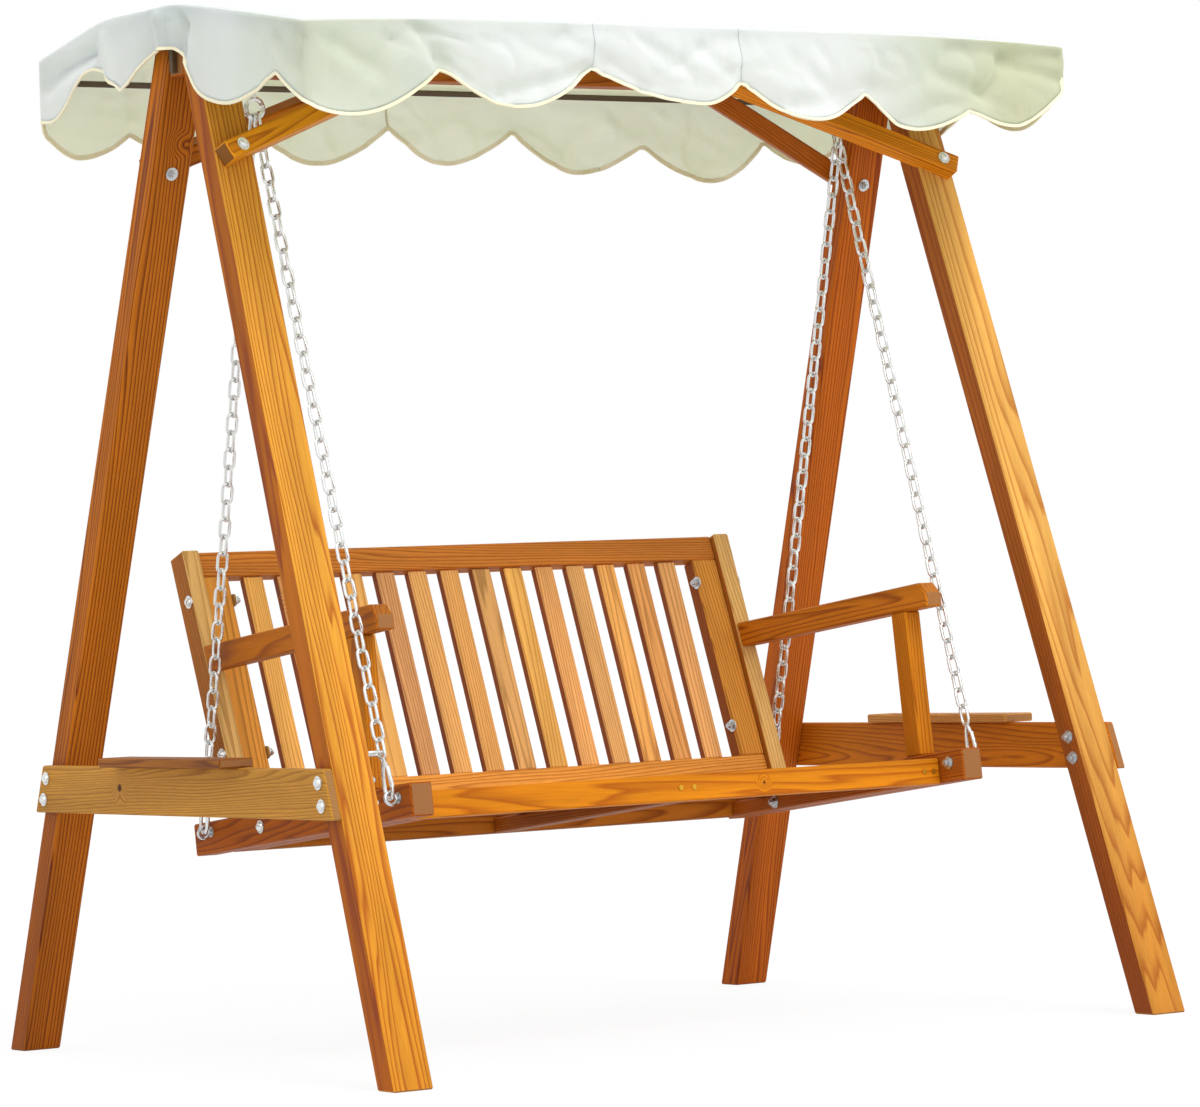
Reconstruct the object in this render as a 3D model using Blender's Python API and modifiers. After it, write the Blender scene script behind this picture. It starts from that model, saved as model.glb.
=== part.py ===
"""A canopy swing bench: two raked end frames, a ridge beam, a bench hung on chains and a cloth roof.

Lengths are in metres. X runs along the bench, Y to the rear and Z up.
The origin is on the floor, under the middle of the ridge beam.
"""

import bmesh
import bpy
from math import atan, cos, pi, radians, sin, sqrt, tan
from mathutils import Matrix, Vector

# Clearances and edges shared by all the timber
fit_gap = 0.0003
edge_round = 0.0025
weld_distance = 0.00001
cut_overrun = 0.05

# End frames: two legs that meet at the ridge, each frame leaning in a little towards the top
stand_half_length = 0.780
stand_half_depth = 0.6244
frame_lean = radians(1.49)
leg_thickness = 0.070
leg_depth = 0.048
leg_top = 1.655
leg_top_half_depth = 0.0616

# Ridge beam, held between the tops of the legs
beam_end_inset = 0.045
beam_thickness = 0.045
beam_height = 0.059
beam_rise = 0.005

# Side rails on the outer faces of the legs, and the trays that lie on them
rail_thickness = 0.017
rail_height = 0.079
rail_low = 0.408
tray_shift = 0.008
tray_width = 0.062
tray_length = 0.400
tray_thickness = 0.015

# Braces from the outer faces of the legs up to the sides of the beam
brace_section = 0.034
brace_foot_inset = 0.045
brace_rear_inset = 0.015
brace_foot_drop = 0.195
brace_foot_proud = 0.0168
brace_head_inset = 0.495
brace_head_proud = 0.013
brace_head_drop = 0.030

# Hooks in the underside of the beam; the swing's axis runs through their lowest bend
hook_inset = 0.188
hook_ring_radius = 0.016
hook_wire = 0.008
hook_plate_radius = 0.013
hook_plate_thickness = 0.003
hook_plate_resolution = 4
hook_ring_steps = 16
swing_axis_drop = 0.066

# Seat frame, tilted down to the rear
seat_front = -0.3695
seat_drop = 1.1341
seat_tilt = radians(6.33)
seat_rail_inset = 0.2505
seat_rail_thickness = 0.0405
seat_rail_length = 0.700
seat_rail_height = 0.054
cross_rail_height = 0.044
front_rail_start = 0.065
front_rail_thickness = 0.025
rear_rail_start = 0.620
rear_rail_thickness = 0.030
bearer_width = 0.045
bearer_height = 0.026
seat_slat_count = 5
seat_slat_width = 0.080
seat_slat_gap = 0.012
seat_slat_first = 0.095
seat_slat_thickness = 0.0175

# Back, leaning to the rear
back_lean = radians(19.94)
back_start = 0.5471
stile_shift = 0.0043
stile_thickness = 0.032
stile_depth = 0.047
back_height = 0.474
back_rail_setback = 0.012
back_rail_thickness = 0.030
back_top_rail_height = 0.044
back_bottom_rail_low = 0.012
back_bottom_rail_height = 0.043
post_width = 0.0528
back_slat_count = 14
back_slat_width = 0.037
back_slat_end_gap = 0.03415
back_slat_thickness = 0.018
back_slat_setback = 0.018

# Arms
arm_low = 0.303
arm_height = 0.043
arm_front = 0.057
arm_thickness = 0.0332
arm_nose_height = 0.023
arm_nose_slope = 0.018
arm_post_start = 0.120
arm_post_width = 0.042

# Chains with their eye bolts and snap hooks
chain_spread = 0.003
chain_thickness = 0.012
link_wire = 0.005
link_half_length = 0.0165
link_half_width = 0.0085
link_clearance = 0.0006
snap_length = 0.076
snap_half_width = 0.013
snap_steps = 12
snap_wire = 0.007
eye_ring_radius = 0.010
eye_ring_steps = 10
eye_wire = 0.006
eye_front_place = 0.038
eye_rear_place = 0.642
eye_front_height = 0.033
eye_rear_height = 0.036
eye_stand_off = 0.0142

# Canopy cover and the tube that carries it
cover_end_inset = 0.022
cover_half_depth = 0.440
cover_ridge_rise = 0.052
cover_eave_drop = 0.074
ridge_rounding = 0.060
cover_thickness = 0.003
cover_sag = 0.008
cover_clearance = 0.0008
valance_cusp_drop = 0.065
valance_lobe_drop = 0.128
valance_flare = 0.006
valance_fold = 0.006
valance_row_shares = (0.5, 1.0)
long_side_lobes = 6
short_side_lobes = 3
steps_per_lobe = 4
tube_sharp_angle = radians(50)
tube_thickness = 0.012
tube_end_inset = 0.0165
tube_edge_inset = 0.025
tube_stub_drop = 0.055

# Worked out from the sizes above
rake_slope = (stand_half_depth - leg_top_half_depth) / leg_top
leg_rake = atan(rake_slope)
lean_slope = tan(frame_lean)
leg_level_depth = leg_depth / cos(leg_rake)
brace_foot_height = leg_top - brace_foot_drop
beam_half_length = stand_half_length - beam_end_inset
beam_top = leg_top + beam_rise
beam_low = beam_top - beam_height
beam_half_thickness = beam_thickness / 2
brace_head_place = stand_half_length - brace_head_inset
hook_place = stand_half_length - hook_inset
swing_axis_height = beam_low - swing_axis_drop
seat_low = swing_axis_height - seat_drop
seat_rail_inner = stand_half_length - seat_rail_inset
stile_inner = seat_rail_inner + stile_shift
post_inner = stile_inner - post_width
back_slat_reach = post_inner - back_slat_end_gap - back_slat_width / 2
back_slat_pitch = 2 * back_slat_reach / (back_slat_count - 1)
cover_half_length = stand_half_length - cover_end_inset
cover_ridge = beam_top + cover_ridge_rise
cover_eave = cover_ridge - cover_eave_drop
tube_end = cover_half_length - tube_end_inset
tube_half_depth = cover_half_depth - tube_edge_inset
tube_stub_low = beam_top - tube_stub_drop
eave_slope = (cover_ridge - cover_eave) / (sqrt(cover_half_depth**2 + ridge_rounding**2) - ridge_rounding)

parts = bpy.data.collections.new("canopy_swing_bench")
cutters = bpy.data.collections.new("cutters")


def clear_scene():
    for thing in list(bpy.data.objects):
        bpy.data.objects.remove(thing)
    bpy.context.scene.collection.children.link(parts)
    bpy.context.scene.collection.children.link(cutters)


def finish(name, colour, roughness, metallic=0.0):
    made = bpy.data.materials.new(name)
    made.use_nodes = True
    shader = made.node_tree.nodes["Principled BSDF"]
    shader.inputs["Base Color"].default_value = (*colour, 1.0)
    shader.inputs["Roughness"].default_value = roughness
    shader.inputs["Metallic"].default_value = metallic
    made.diffuse_color = (*colour, 1.0)
    return made


def add_object(name, mesh, material, parent=None, place=(0.0, 0.0, 0.0)):
    made = bpy.data.objects.new(name, mesh)
    made.data.materials.clear()
    made.data.materials.append(material)
    made.parent = parent
    made.location = place
    parts.objects.link(made)
    return made


def round_edges(thing, width=edge_round):
    bevel = thing.modifiers.new("eased edges", "BEVEL")
    bevel.width = width
    bevel.segments = 1
    bevel.limit_method = "ANGLE"


def frame_at(name, parent, place, tilt):
    """An empty whose Y axis runs to the rear and down by the tilt."""
    made = bpy.data.objects.new(name, None)
    made.parent = parent
    made.location = place
    made.rotation_euler.x = -tilt
    parts.objects.link(made)
    return made


def board(name, low, high, material, parent=None, turn=None):
    """A board between two corners given in its parent's frame, with eased edges."""
    low = Vector(low)
    high = Vector(high)
    shape = bmesh.new()
    bmesh.ops.create_cube(shape, size=1.0)
    bmesh.ops.scale(shape, vec=high - low, verts=shape.verts)
    mesh = bpy.data.meshes.new(name)
    shape.to_mesh(mesh)
    shape.free()
    made = add_object(name, mesh, material, parent, (low + high) / 2)
    if turn is not None:
        made.rotation_euler = turn.to_euler()
    round_edges(made)
    return made


def mesh_from_curve(name, curve):
    """The curve's own surface as a closed mesh, with its caps welded on."""
    guide = bpy.data.objects.new(name + " guide", curve)
    bpy.context.scene.collection.objects.link(guide)
    graph = bpy.context.evaluated_depsgraph_get()
    mesh = bpy.data.meshes.new_from_object(guide.evaluated_get(graph))
    bpy.data.objects.remove(guide)
    shape = bmesh.new()
    shape.from_mesh(mesh)
    bmesh.ops.remove_doubles(shape, verts=shape.verts, dist=weld_distance)
    bmesh.ops.recalc_face_normals(shape, faces=shape.faces)
    shape.to_mesh(mesh)
    shape.free()
    mesh.name = name
    return mesh


def sawn_board(name, outline, inner, outer, side, material, parent=None, lean=0.0):
    """A board sawn to an outline in Y and Z, from inner to outer on one side, leaning in by a slope."""
    curve = bpy.data.curves.new(name, "CURVE")
    curve.dimensions = "2D"
    curve.fill_mode = "BOTH"
    curve.extrude = (outer - inner) / 2
    line = curve.splines.new("POLY")
    line.points.add(len(outline) - 1)
    for point, (y, z) in zip(line.points, outline):
        point.co = (y, z, 0.0, 1.0)
    line.use_cyclic_u = True
    mesh = mesh_from_curve(name, curve)
    middle = side * (inner + outer) / 2
    stand_up = Matrix(((0, 0, 1, middle), (1, 0, 0, 0), (0, 1, 0, 0), (0, 0, 0, 1)))
    lean_in = Matrix(((1, 0, -side * lean, 0), (0, 1, 0, 0), (0, 0, 1, 0), (0, 0, 0, 1)))
    mesh.transform(lean_in @ stand_up)
    made = add_object(name, mesh, material, parent)
    round_edges(made)
    return made


def tube_mesh(name, points, thickness, closed=False, resolution=1):
    curve = bpy.data.curves.new(name, "CURVE")
    curve.dimensions = "3D"
    curve.bevel_depth = thickness / 2
    curve.bevel_resolution = resolution
    curve.use_fill_caps = not closed
    line = curve.splines.new("POLY")
    line.points.add(len(points) - 1)
    for point, place in zip(line.points, points):
        point.co = (*place, 1.0)
    line.use_cyclic_u = closed
    mesh = mesh_from_curve(name, curve)
    mesh.shade_smooth()
    mesh.set_sharp_from_angle(angle=tube_sharp_angle)
    return mesh


def as_cutter(thing):
    for home in thing.users_collection:
        home.objects.unlink(thing)
    cutters.objects.link(thing)
    thing.hide_render = True
    thing.display_type = "WIRE"


def boolean(thing, other, operation):
    change = thing.modifiers.new(operation.lower(), "BOOLEAN")
    change.operation = operation
    change.object = other
    change.solver = "EXACT"
    as_cutter(other)


def ring_points(centre, radius_a, axis_a, radius_b, axis_b, steps):
    return [
        centre + axis_a * radius_a * cos(2 * pi * i / steps) + axis_b * radius_b * sin(2 * pi * i / steps)
        for i in range(steps)
    ]


def link_points(middle, half_length, along, half_width, across, steps=6):
    """The middle line of a chain link: two half rounds joined by straight sides."""
    points = []
    for end in (1, -1):
        centre = middle + along * end * (half_length - half_width)
        for i in range(steps + 1):
            turn = pi * i / steps
            points.append(centre + end * half_width * (across * cos(turn) + along * sin(turn)))
    return points


def leg_line(height, grow=0.0):
    """How far from the middle the outer and inner faces of a leg are at a height."""
    outer = stand_half_depth - rake_slope * height
    inner = outer - leg_level_depth
    return outer + grow / cos(leg_rake), inner - grow / cos(leg_rake)


def leg_outline(end, grow=0.0):
    foot_outer, foot_inner = leg_line(0.0, grow)
    top_outer = leg_line(leg_top, grow)[0]
    plumb = beam_half_thickness + fit_gap
    plumb_start = (foot_inner - plumb) / rake_slope
    corners = [(foot_outer, 0.0), (foot_inner, 0.0), (plumb, plumb_start), (plumb, leg_top), (top_outer, leg_top)]
    return [(end * y, z) for y, z in corners]


def make_end_frame(side, word):
    inner = stand_half_length - leg_thickness
    for end, place in ((-1, "front"), (1, "rear")):
        sawn_board(
            f"leg_{place}_{word}", leg_outline(end), inner, stand_half_length, side, timber, lean=lean_slope
        )
    low, high = leg_line(rail_low)[0], leg_line(rail_low + rail_height)[0]
    rail_top = rail_low + rail_height
    rail = [(-low, rail_low), (low, rail_low), (high, rail_top), (-high, rail_top)]
    rail_inner = stand_half_length + fit_gap
    sawn_board(f"side_rail_{word}", rail, rail_inner, rail_inner + rail_thickness, side, timber, lean=lean_slope)
    tray_low = rail_low + rail_height + fit_gap
    tray_middle = stand_half_length + tray_shift
    board(
        f"tray_{word}",
        (side * tray_middle - tray_width / 2, -tray_length / 2, tray_low),
        (side * tray_middle + tray_width / 2, tray_length / 2, tray_low + tray_thickness),
        tray_timber,
    )


def make_beam():
    board(
        "ridge_beam",
        (-beam_half_length, -beam_half_thickness, beam_low),
        (beam_half_length, beam_half_thickness, beam_top),
        timber,
    )


def make_brace(side, word, end, place):
    """A square brace, housed over the outer face of its leg and sawn to lie against the side of the beam."""
    inset = brace_foot_inset + (brace_rear_inset if end > 0 else 0.0)
    foot_reach = leg_line(brace_foot_height)[0] + brace_foot_proud
    head_reach = beam_half_thickness + brace_head_proud
    foot = Vector((side * (stand_half_length - inset), end * foot_reach, brace_foot_height))
    head = Vector((side * brace_head_place, end * head_reach, beam_top - brace_head_drop))
    along = (head - foot).normalized()
    leg_normal = Vector((0.0, end * cos(leg_rake), sin(leg_rake)))
    out = (leg_normal - along * leg_normal.dot(along)).normalized()
    across = out.cross(along)
    turn = Matrix((along, across, out)).transposed()
    middle = (foot + head) / 2
    half = Vector(((head - foot).length, brace_section, brace_section)) / 2
    brace = board(f"brace_{place}_{word}", middle - half, middle + half, timber, turn=turn)
    inner = stand_half_length - leg_thickness
    housing = sawn_board(
        f"housing_{place}_{word}",
        leg_outline(end, fit_gap),
        inner - fit_gap,
        stand_half_length + cut_overrun,
        side,
        timber,
        lean=lean_slope,
    )
    housing.modifiers.clear()
    boolean(brace, housing, "DIFFERENCE")
    face = end * (beam_half_thickness + fit_gap)
    far_face = face - end * cut_overrun
    beam_side = board(
        f"beam_side_{place}_{word}",
        (-beam_half_length, min(face, far_face), beam_low - cut_overrun),
        (beam_half_length, max(face, far_face), beam_top + cut_overrun),
        timber,
    )
    beam_side.modifiers.clear()
    boolean(brace, beam_side, "DIFFERENCE")


def make_hook(side, word):
    """A bent ring under a small round plate, screwed up into the beam."""
    centre = Vector((side * hook_place, 0.0, swing_axis_height + hook_ring_radius))
    across = Vector((1.0, 0.0, 0.0))
    up = Vector((0.0, 0.0, 1.0))
    ring = ring_points(centre, hook_ring_radius, across, hook_ring_radius, up, hook_ring_steps)
    hook = add_object(f"ridge_hook_{word}", tube_mesh("hook ring", ring, hook_wire, closed=True), zinc)
    top = Vector((centre.x, centre.y, beam_low - fit_gap))
    shank_end = centre + up * hook_ring_radius
    shank = add_object(f"hook_shank_{word}", tube_mesh("hook shank", [shank_end, top], hook_wire), zinc)
    plate_low = top - up * hook_plate_thickness
    plate_mesh = tube_mesh("hook plate", [plate_low, top], 2 * hook_plate_radius, resolution=hook_plate_resolution)
    plate = add_object(f"hook_plate_{word}", plate_mesh, zinc)
    boolean(hook, shank, "UNION")
    boolean(hook, plate, "UNION")


def roof_height(y):
    return cover_ridge - eave_slope * (sqrt(y * y + ridge_rounding**2) - ridge_rounding)


def make_canopy_frame():
    """One bent tube round the roof, resting under the cloth, with a stub down each end of the beam."""
    drop = (cover_thickness + cover_clearance + tube_thickness / 2) * sqrt(1 + eave_slope**2)
    arch_steps = short_side_lobes * steps_per_lobe
    sweep = [tube_half_depth * (2 * i / arch_steps - 1) for i in range(arch_steps + 1)]
    right = [Vector((tube_end, y, roof_height(y) - drop)) for y in sweep]
    left = [Vector((-tube_end, y, roof_height(y) - drop)) for y in reversed(sweep)]
    frame = add_object(
        "canopy_frame", tube_mesh("canopy tube", right + left, tube_thickness, closed=True), dark_steel
    )
    for side, word in ((-1, "left"), (1, "right")):
        top = Vector((side * tube_end, 0.0, roof_height(0.0) - drop))
        low = Vector((side * tube_end, 0.0, tube_stub_low))
        stub = add_object(f"stub_{word}", tube_mesh("stub", [low, top], tube_thickness), dark_steel)
        boolean(frame, stub, "UNION")


def lobe_share(turn):
    """0 at a cusp of the valance and 1 at the lowest point of a lobe, for a place counted in lobes."""
    return abs(sin(pi * turn))


def hang_valance(eave, share):
    """The place on the valance below an eave point, out by its flare and in and out by its folds."""
    x, y, z = eave
    on_long_side = abs(abs(y) - cover_half_depth) < weld_distance
    on_short_side = abs(abs(x) - cover_half_length) < weld_distance
    turns = []
    if on_long_side:
        turns.append((x / cover_half_length + 1) / 2 * long_side_lobes)
    if on_short_side:
        turns.append((y / cover_half_depth + 1) / 2 * short_side_lobes)
    lobe = 0.0 if len(turns) == 2 else lobe_share(turns[0])
    drop = valance_cusp_drop + (valance_lobe_drop - valance_cusp_drop) * lobe
    fold = 0.0 if len(turns) == 2 else valance_fold * cos(2 * pi * turns[0])
    out = share * (valance_flare - fold)
    if on_long_side:
        y += out * (1 if y > 0 else -1)
    if on_short_side:
        x += out * (1 if x > 0 else -1)
    return Vector((x, y, z - share * drop))


def make_cover():
    """The cloth roof and its scalloped valance, as one open sheet given its thickness inwards."""
    shape = bmesh.new()
    columns = long_side_lobes * steps_per_lobe
    rows = short_side_lobes * steps_per_lobe
    bmesh.ops.create_grid(shape, x_segments=columns, y_segments=rows, size=1.0)
    for vertex in shape.verts:
        along = vertex.co.x
        x = along * cover_half_length
        y = vertex.co.y * cover_half_depth
        sag = cover_sag * (1 - along * along) * sin(pi * abs(vertex.co.y)) ** 2
        vertex.co = (x, y, roof_height(y) - sag)
    eave_edges = [line for line in shape.edges if line.is_boundary]
    eave_loop = {vertex: vertex.co.copy() for line in eave_edges for vertex in line.verts}
    upper = {vertex: vertex for vertex in eave_loop}
    for share in valance_row_shares:
        lower = {vertex: shape.verts.new(hang_valance(eave, share)) for vertex, eave in eave_loop.items()}
        for line in eave_edges:
            start, end = line.verts
            shape.faces.new((upper[start], upper[end], lower[end], lower[start]))
        upper = lower
    bmesh.ops.recalc_face_normals(shape, faces=shape.faces)
    mesh = bpy.data.meshes.new("canopy_cover")
    shape.to_mesh(mesh)
    shape.free()
    mesh.shade_smooth()
    cover = add_object("canopy_cover", mesh, cloth)
    thicken = cover.modifiers.new("cloth thickness", "SOLIDIFY")
    thicken.thickness = cover_thickness
    thicken.offset = -1.0
    thicken.use_even_offset = True
    return cover


def make_seat(seat):
    """Side rails, cross rails, bearers and slats, in the tilted frame of the seat."""
    inside = seat_rail_inner - fit_gap
    for side, word in ((-1, "left"), (1, "right")):
        outer = seat_rail_inner + seat_rail_thickness
        ends = sorted((side * seat_rail_inner, side * outer))
        board(
            f"seat_rail_{word}", (ends[0], 0.0, 0.0), (ends[1], seat_rail_length, seat_rail_height), timber, seat
        )
        near = inside - bearer_width
        ends = sorted((side * near, side * inside))
        make_bearer(f"bearer_{word}", ends[0], ends[1], seat)
    make_bearer("bearer_middle", -bearer_width / 2, bearer_width / 2, seat)
    for name, start, thickness in (
        ("front_rail", front_rail_start, front_rail_thickness),
        ("rear_rail", rear_rail_start, rear_rail_thickness),
    ):
        board(name, (-inside, start, 0.0), (inside, start + thickness, cross_rail_height), timber, seat)
    slat_low = bearer_height + fit_gap
    for i in range(seat_slat_count):
        start = seat_slat_first + i * (seat_slat_width + seat_slat_gap)
        low = (-inside, start, slat_low)
        high = (inside, start + seat_slat_width, slat_low + seat_slat_thickness)
        board(f"seat_slat_{i + 1}", low, high, timber, seat)


def make_bearer(name, left, right, seat):
    start = front_rail_start + front_rail_thickness + fit_gap
    end = rear_rail_start - fit_gap
    board(name, (left, start, 0.0), (right, end, bearer_height), timber, seat)


def make_back(back):
    """Stiles, rails, inner posts and slats, in the leaning frame of the back."""
    foot_slope = tan(back_lean - seat_tilt)
    stile = [
        (0.0, fit_gap),
        (stile_depth, fit_gap + stile_depth * foot_slope),
        (stile_depth, back_height),
        (0.0, back_height),
    ]
    rail_end = stile_inner - fit_gap
    rail_front = back_rail_setback
    rail_rear = back_rail_setback + back_rail_thickness
    top_low = back_height - back_top_rail_height
    bottom_top = back_bottom_rail_low + back_bottom_rail_height
    for side, word in ((-1, "left"), (1, "right")):
        sawn_board(f"back_stile_{word}", stile, stile_inner, stile_inner + stile_thickness, side, pale_timber, back)
        ends = sorted((side * post_inner, side * rail_end))
        low = (ends[0], rail_front, bottom_top + fit_gap)
        high = (ends[1], rail_rear, top_low - fit_gap)
        board(f"back_post_{word}", low, high, pale_timber, back)
    top = (rail_end, rail_rear, back_height)
    board("back_top_rail", (-rail_end, rail_front, top_low), top, pale_timber, back)
    low = (-rail_end, rail_front, back_bottom_rail_low)
    board("back_bottom_rail", low, (rail_end, rail_rear, bottom_top), pale_timber, back)
    for i in range(back_slat_count):
        middle = (i - (back_slat_count - 1) / 2) * back_slat_pitch
        low = (middle - back_slat_width / 2, back_slat_setback, bottom_top + fit_gap)
        rear = back_slat_setback + back_slat_thickness
        high = (middle + back_slat_width / 2, rear, top_low - fit_gap)
        board(f"back_slat_{i + 1:02d}", low, high, pale_timber, back)


def make_arms(seat):
    """An armrest that butts against each stile, on a post that stands on the side rail."""
    foot_slope = tan(back_lean - seat_tilt)

    def stile_face(height):
        return back_start + (height - seat_rail_height) * foot_slope - fit_gap / cos(back_lean - seat_tilt)

    arm_top = arm_low + arm_height
    outline = [
        (arm_front, arm_low),
        (stile_face(arm_low), arm_low),
        (stile_face(arm_top), arm_top),
        (arm_front + arm_nose_slope, arm_top),
        (arm_front, arm_low + arm_nose_height),
    ]
    for side, word in ((-1, "left"), (1, "right")):
        outer = stile_inner + arm_thickness
        sawn_board(f"armrest_{word}", outline, stile_inner, outer, side, timber, seat)
        ends = sorted((side * stile_inner, side * (stile_inner + stile_thickness)))
        low = (ends[0], arm_post_start, seat_rail_height + fit_gap)
        high = (ends[1], arm_post_start + arm_post_width, arm_low - fit_gap)
        board(f"arm_post_{word}", low, high, timber, seat)


def seat_point(along, up):
    """Y and Z, from the swing's axis, of a place in the side view of the seat."""
    y = seat_front + along * cos(seat_tilt) + up * sin(seat_tilt)
    z = seat_low - along * sin(seat_tilt) + up * cos(seat_tilt)
    return y, z - swing_axis_height


def make_chain(side, word, end, place, swing):
    """A chain with its eye bolt, snap hook and the link that hangs in the ridge hook, as one piece."""
    along, up = (eye_front_place, eye_front_height) if end < 0 else (eye_rear_place, eye_rear_height)
    rail_face = seat_rail_inner + seat_rail_thickness + fit_gap
    eye = Vector((side * (rail_face + eye_stand_off), *seat_point(along, up)))
    top = Vector((side * (hook_place + end * chain_spread), 0.0, 0.0))
    line = (top - eye).normalized()
    across = Vector((1.0, 0.0, 0.0))
    flat = across.cross(line)
    link_top = top + line * (hook_wire / 2 + link_wire / 2 + link_clearance)
    link_middle = link_top - line * link_half_length
    link = link_points(link_middle, link_half_length, line, link_half_width, flat)
    name = f"chain_{place}_{word}"
    chain = add_object(name, tube_mesh(name, link, link_wire, closed=True), zinc, swing)
    snap_low = eye - line * (eye_ring_radius - snap_wire / 2)
    snap_middle = snap_low + line * snap_length / 2
    snap = ring_points(snap_middle, snap_length / 2, line, snap_half_width, flat, snap_steps)
    ring = ring_points(eye, eye_ring_radius, across, eye_ring_radius, line, eye_ring_steps)
    shank_end = eye - across * side * eye_ring_radius
    shank = [Vector((side * rail_face, eye.y, eye.z)), shank_end]
    rod = [snap_low + line * snap_length, link_top - line * 2 * link_half_length]
    for piece_word, mesh in (
        ("rod", tube_mesh("chain length", rod, chain_thickness)),
        ("snap", tube_mesh("snap hook", snap, snap_wire, closed=True)),
        ("eye", tube_mesh("eye ring", ring, eye_wire, closed=True)),
        ("shank", tube_mesh("eye shank", shank, eye_wire)),
    ):
        piece = add_object(f"{name}_{piece_word}", mesh, zinc, swing)
        boolean(chain, piece, "UNION")


clear_scene()
timber = finish("oiled pine", (0.72, 0.33, 0.08), 0.5)
pale_timber = finish("bare pine", (0.62, 0.35, 0.16), 0.6)
tray_timber = finish("red-brown pine", (0.42, 0.16, 0.06), 0.5)
cloth = finish("white canopy cloth", (0.86, 0.89, 0.86), 0.9)
zinc = finish("zinc plated steel", (0.62, 0.63, 0.64), 0.35, 1.0)
dark_steel = finish("brown painted steel", (0.10, 0.07, 0.04), 0.5)

make_beam()
for side, word in ((-1, "left"), (1, "right")):
    make_end_frame(side, word)
    make_hook(side, word)
    for end, place in ((-1, "front"), (1, "rear")):
        make_brace(side, word, end, place)
make_canopy_frame()
make_cover()

swing = frame_at("seat_swing_axis", None, (0.0, 0.0, swing_axis_height), 0.0)
seat = frame_at("seat_frame", swing, (0.0, seat_front, seat_low - swing_axis_height), seat_tilt)
back = frame_at("back_frame", seat, (0.0, back_start, seat_rail_height), back_lean - seat_tilt)
make_seat(seat)
make_back(back)
make_arms(seat)
for side, word in ((-1, "left"), (1, "right")):
    for end, place in ((-1, "front"), (1, "rear")):
        make_chain(side, word, end, place, swing)
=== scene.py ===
"""The looks of a timber canopy swing bench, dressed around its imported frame. Lengths are in metres."""

import bmesh
import bpy
from math import cos, pi, radians, sin, sqrt, tan
from mathutils import Matrix, Vector, noise


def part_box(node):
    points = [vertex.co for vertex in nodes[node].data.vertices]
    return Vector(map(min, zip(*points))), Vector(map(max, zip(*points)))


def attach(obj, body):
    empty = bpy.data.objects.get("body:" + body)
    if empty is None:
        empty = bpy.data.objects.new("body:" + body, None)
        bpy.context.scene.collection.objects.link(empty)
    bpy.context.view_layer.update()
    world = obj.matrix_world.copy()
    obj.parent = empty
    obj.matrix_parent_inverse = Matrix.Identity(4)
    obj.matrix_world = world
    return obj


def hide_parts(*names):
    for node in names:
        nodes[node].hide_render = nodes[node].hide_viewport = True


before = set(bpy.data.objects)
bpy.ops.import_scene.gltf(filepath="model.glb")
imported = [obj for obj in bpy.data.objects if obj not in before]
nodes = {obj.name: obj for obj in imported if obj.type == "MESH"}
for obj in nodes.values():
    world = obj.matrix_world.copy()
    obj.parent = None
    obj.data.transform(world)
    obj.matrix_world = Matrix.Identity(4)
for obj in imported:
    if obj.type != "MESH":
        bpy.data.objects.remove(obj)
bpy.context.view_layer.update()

# Camera: a long lens at chest height, a third of the way round to the swing's left end.
# Its place and turn come from fitting the feet, rails and leg tops of the photograph.
camera_place = Vector((-4.7745, -7.1344, 0.7365))
camera_yaw = 0.5941
camera_pitch = 0.0078
camera_roll = -0.0391
photo_width = 1200
focal_length_pixels = 5068.57
sensor_width = 36.0
aim = Vector((sin(camera_yaw) * cos(camera_pitch), cos(camera_yaw) * cos(camera_pitch), sin(camera_pitch)))
level_right = Vector((cos(camera_yaw), -sin(camera_yaw), 0.0))
level_up = level_right.cross(aim)
right = level_right * cos(camera_roll) + level_up * sin(camera_roll)
up = level_up * cos(camera_roll) - level_right * sin(camera_roll)
camera = bpy.data.objects.new("camera", bpy.data.cameras.new("camera"))
camera.data.sensor_width = sensor_width
camera.data.lens = focal_length_pixels / photo_width * sensor_width
camera.data.shift_x = 0.0033
camera.data.shift_y = 0.0020
camera.data.clip_end = 60.0
camera.matrix_world = Matrix.Translation(camera_place) @ Matrix((right, up, -aim)).transposed().to_4x4()
bpy.context.scene.collection.objects.link(camera)
bpy.context.scene.camera = camera
bpy.context.scene.view_settings.view_transform = "Standard"


# Studio: an overhead soft light and a weaker low one, both in front of the bench, and an even sky.
# The floor is white paper: it takes the object's shadow, and shows white to the camera.
def linear(code):
    """An sRGB hex colour as the linear numbers that a shader takes."""
    values = [int(code[i : i + 2], 16) / 255 for i in (0, 2, 4)]
    return [v / 12.92 if v <= 0.04045 else ((v + 0.055) / 1.055) ** 2.4 for v in values] + [1.0]


def add(tree, kind, inputs=(), **settings):
    """Adds one node, sets its properties, and gives each input a value or a link."""
    made = tree.nodes.new(kind)
    for name, value in settings.items():
        setattr(made, name, value)
    for name, value in dict(inputs).items():
        if isinstance(value, bpy.types.NodeSocket):
            tree.links.new(value, made.inputs[name])
        else:
            made.inputs[name].default_value = value
    return made


def calculate(tree, operation, *values):
    return add(tree, "ShaderNodeMath", dict(enumerate(values)), operation=operation).outputs[0]


def directly_seen(tree):
    """1 for the camera's rays and for reflections, and 0 for light that is scattered."""
    path = add(tree, "ShaderNodeLightPath")
    return calculate(tree, "MAXIMUM", path.outputs["Is Camera Ray"], path.outputs["Is Glossy Ray"])


def new_material(name):
    made = bpy.data.materials.new(name)
    made.use_nodes = True
    made.node_tree.nodes.clear()
    return made, made.node_tree


def surface(tree, shader):
    add(tree, "ShaderNodeOutputMaterial", {"Surface": shader.outputs[0]})


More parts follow.
